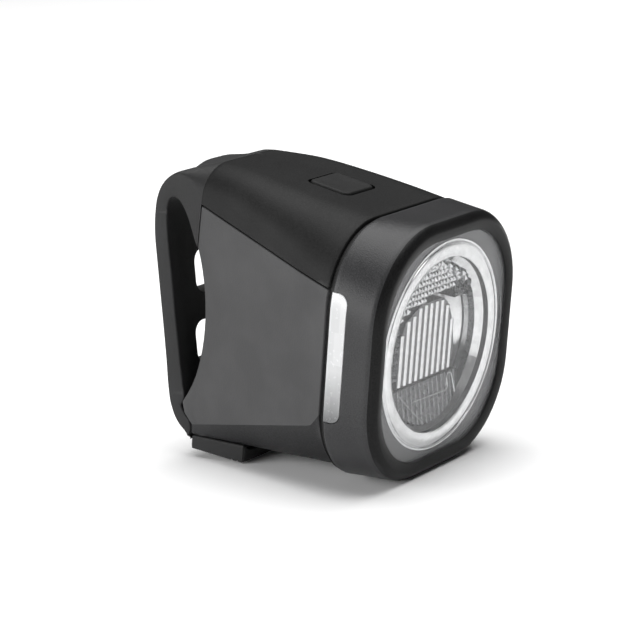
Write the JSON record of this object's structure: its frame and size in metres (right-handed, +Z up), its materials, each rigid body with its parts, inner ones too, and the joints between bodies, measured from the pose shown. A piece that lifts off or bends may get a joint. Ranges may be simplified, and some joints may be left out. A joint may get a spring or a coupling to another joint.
{
  "type": "bike headlight",
  "caption": "Compact rounded-square bicycle headlight with a fluted reflector, side light windows, a top push button and a slotted rubber strap that loops around a handlebar.",
  "frame": {"origin": "deepest point of the handlebar seat, in the middle of its width and at the height of the beam axis", "axes": "X across the bicycle, +Y from the lamp back towards the handlebar, +Z up; the lamp shines along -Y"},
  "size_m": [0.042, 0.0519, 0.0477],
  "materials": {
    "textured_black": "fine spark texture, slightly glossy at the rim",
    "body_black": "matte, fine grain",
    "clear_plastic": "clear and glossy",
    "metallised_plastic": "bright metallised",
    "led_yellow": "phosphor under a clear dome",
    "board_white": "white solder mask",
    "sink_aluminium": "plain sheet",
    "screw_steel": "zinc plated",
    "black_rubber": "matte",
    "button_rubber": "matte silicone",
    "strap_rubber": "matte silicone",
    "switch_plastic": "matte",
    "plunger_plastic": "matte",
    "board_green": "solder mask",
    "battery_wrap": "shrink wrap",
    "lead_red": "silicone insulation"
  },
  "bodies": {
    "housing": {"front_bezel": "textured_black", "clear_lens": "clear_plastic", "lens_gasket": "black_rubber", "reflector": "metallised_plastic", "led_emitter": "led_yellow", "led_board": "board_white", "led_board_screws": "screw_steel", "heat_sink": "sink_aluminium", "side_window_left": "clear_plastic", "side_window_right": "clear_plastic", "seam_gasket": "black_rubber", "bezel_screws": "screw_steel", "lower_housing": "body_black", "top_cover": "body_black", "button_seal": "black_rubber", "tact_switch": "switch_plastic", "main_board": "board_green", "board_components": "switch_plastic", "board_screws": "screw_steel", "usb_socket": "screw_steel", "battery_cell": "battery_wrap", "battery_pad": "black_rubber", "battery_leads": "lead_red", "led_leads": "lead_red", "saddle_pad": "black_rubber", "strap_root": "strap_rubber", "strap_hook": "body_black"},
    "button": {"power_button": "button_rubber", "switch_plunger": "plunger_plastic"},
    "flap": {"usb_cover": "button_rubber"},
    "strap_band": {"strap": "strap_rubber"},
    "strap_end": {"strap_tail": "strap_rubber"}
  },
  "joints": [
    {"name": "button_press", "type": "slide", "parent": "housing", "child": "button", "axis": [0, 0, -1], "range_m": [0, 0.0007], "stiffness_N_per_m": 1500},
    {"name": "strap_swing", "type": "hinge", "parent": "housing", "child": "strap_band", "pos_m": [0, 0.0082, 0.019], "axis": [1, 0, 0], "range_deg": [0, 70], "stiffness_Nm_per_rad": 0.004, "springref_deg": -11.46},
    {"name": "strap_tail_flip", "type": "hinge", "parent": "strap_band", "child": "strap_end", "pos_m": [0, 0.0011, -0.0232], "axis": [1, 0, 0], "range_deg": [0, 91], "stiffness_Nm_per_rad": 0.001},
    {"name": "usb_cover_open", "type": "hinge", "parent": "housing", "child": "flap", "pos_m": [0.01662, -0.01562, 0.00605], "axis": [-0.2772, 0.9608, 0], "range_deg": [0, 90], "stiffness_Nm_per_rad": 0.00003, "springref_deg": -11.46}
  ],
  "couplings": [
    {"joint": "strap_tail_flip", "follows": "strap_swing", "ratio": 1.3}
  ]
}
